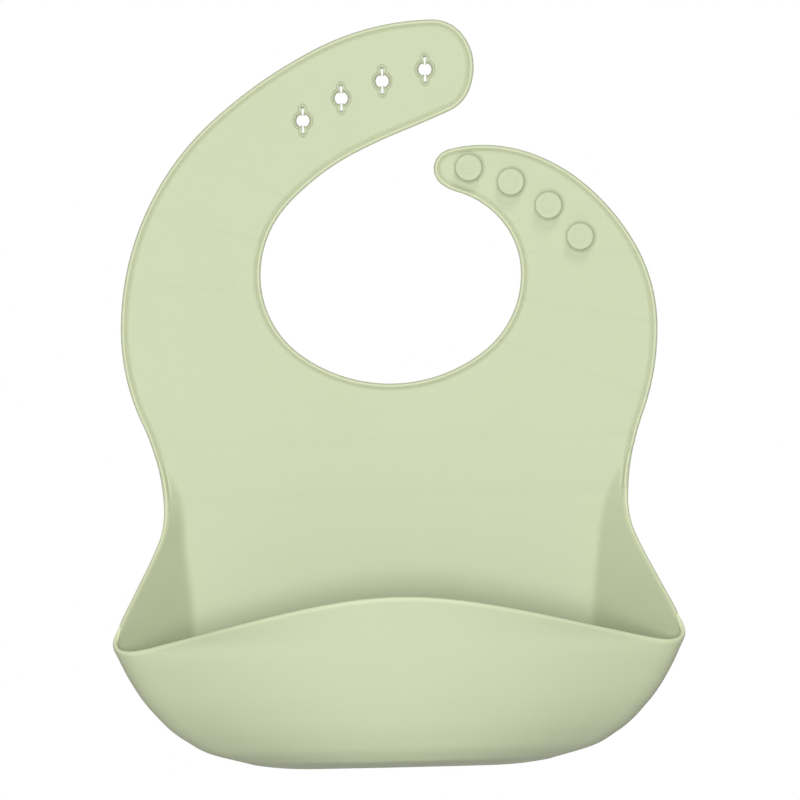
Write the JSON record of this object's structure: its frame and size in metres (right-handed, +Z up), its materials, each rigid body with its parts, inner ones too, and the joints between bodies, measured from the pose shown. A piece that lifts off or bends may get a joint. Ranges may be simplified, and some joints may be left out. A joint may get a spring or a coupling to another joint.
{
  "type": "silicone bib",
  "caption": "Soft moulded baby bib: flat panel with a round neck opening, two button straps with studs and keyhole eyelets, and an open catch-all pocket.",
  "frame": {"origin": "centre of the neck opening, on the bib's back face", "axes": "+Z up towards the straps as worn, -Y out of the front, +X towards the stud strap"},
  "size_m": [0.2294, 0.05, 0.3043],
  "materials": {
    "silicone": "matte satin moulded silicone, pale sage green"
  },
  "bodies": {
    "chest": {"chest_panel": "silicone", "waist_flex": "silicone", "eyelet_strap_root_flex": "silicone", "stud_strap_root_flex": "silicone"},
    "lower_bib": {"lower_panel": "silicone", "left_gusset": "silicone", "right_gusset": "silicone", "pocket_floor": "silicone"},
    "pocket_front": {"pocket_front": "silicone", "pocket_rim": "silicone"},
    "eyelet_strap_middle": {"eyelet_strap_middle": "silicone", "eyelet_strap_flex": "silicone"},
    "eyelet_strap_end": {"eyelet_strap_end": "silicone", "eyelet_rim_1": "silicone", "eyelet_rim_2": "silicone", "eyelet_rim_3": "silicone", "eyelet_rim_4": "silicone"},
    "stud_strap_middle": {"stud_strap_middle": "silicone", "stud_strap_flex": "silicone"},
    "stud_strap_end": {"stud_strap_end": "silicone", "stud_1": "silicone", "stud_2": "silicone", "stud_3": "silicone", "stud_4": "silicone"}
  },
  "joints": [
    {"name": "eyelet_strap_bend", "type": "hinge", "parent": "chest", "child": "eyelet_strap_middle", "pos_m": [0, -0.0009, 0], "axis": [-0.9976, 0, 0.0698], "range_deg": [-15, 42], "stiffness_Nm_per_rad": 0.05, "deforming": ["eyelet_strap_root_flex"]},
    {"name": "eyelet_strap_curl", "type": "hinge", "parent": "eyelet_strap_middle", "child": "eyelet_strap_end", "pos_m": [0, -0.0009, 0], "axis": [-0.8829, 0, 0.4695], "range_deg": [-15, 42], "stiffness_Nm_per_rad": 0.05, "deforming": ["eyelet_strap_flex"]},
    {"name": "stud_strap_bend", "type": "hinge", "parent": "chest", "child": "stud_strap_middle", "pos_m": [0, -0.0009, 0], "axis": [-0.9272, 0, 0.3746], "range_deg": [-15, 36], "stiffness_Nm_per_rad": 0.05, "deforming": ["stud_strap_root_flex"]},
    {"name": "stud_strap_curl", "type": "hinge", "parent": "stud_strap_middle", "child": "stud_strap_end", "pos_m": [0, -0.0009, 0], "axis": [-0.9998, 0, 0.0175], "range_deg": [-15, 36], "stiffness_Nm_per_rad": 0.05, "deforming": ["stud_strap_flex"]},
    {"name": "waist_fold", "type": "hinge", "parent": "chest", "child": "lower_bib", "pos_m": [0, -0.0009, -0.078], "axis": [-1, 0, 0], "range_deg": [-45, 100], "stiffness_Nm_per_rad": 0.3, "deforming": ["waist_flex"]},
    {"name": "pocket_flex", "type": "hinge", "parent": "lower_bib", "child": "pocket_front", "pos_m": [0, -0.014, -0.192], "axis": [1, 0, 0], "range_deg": [-20, 12], "stiffness_Nm_per_rad": 0.2, "deforming": ["left_gusset", "right_gusset", "pocket_floor"]}
  ],
  "couplings": [
    {"joint": "eyelet_strap_curl", "follows": "eyelet_strap_bend", "ratio": 1},
    {"joint": "stud_strap_curl", "follows": "stud_strap_bend", "ratio": 1}
  ]
}
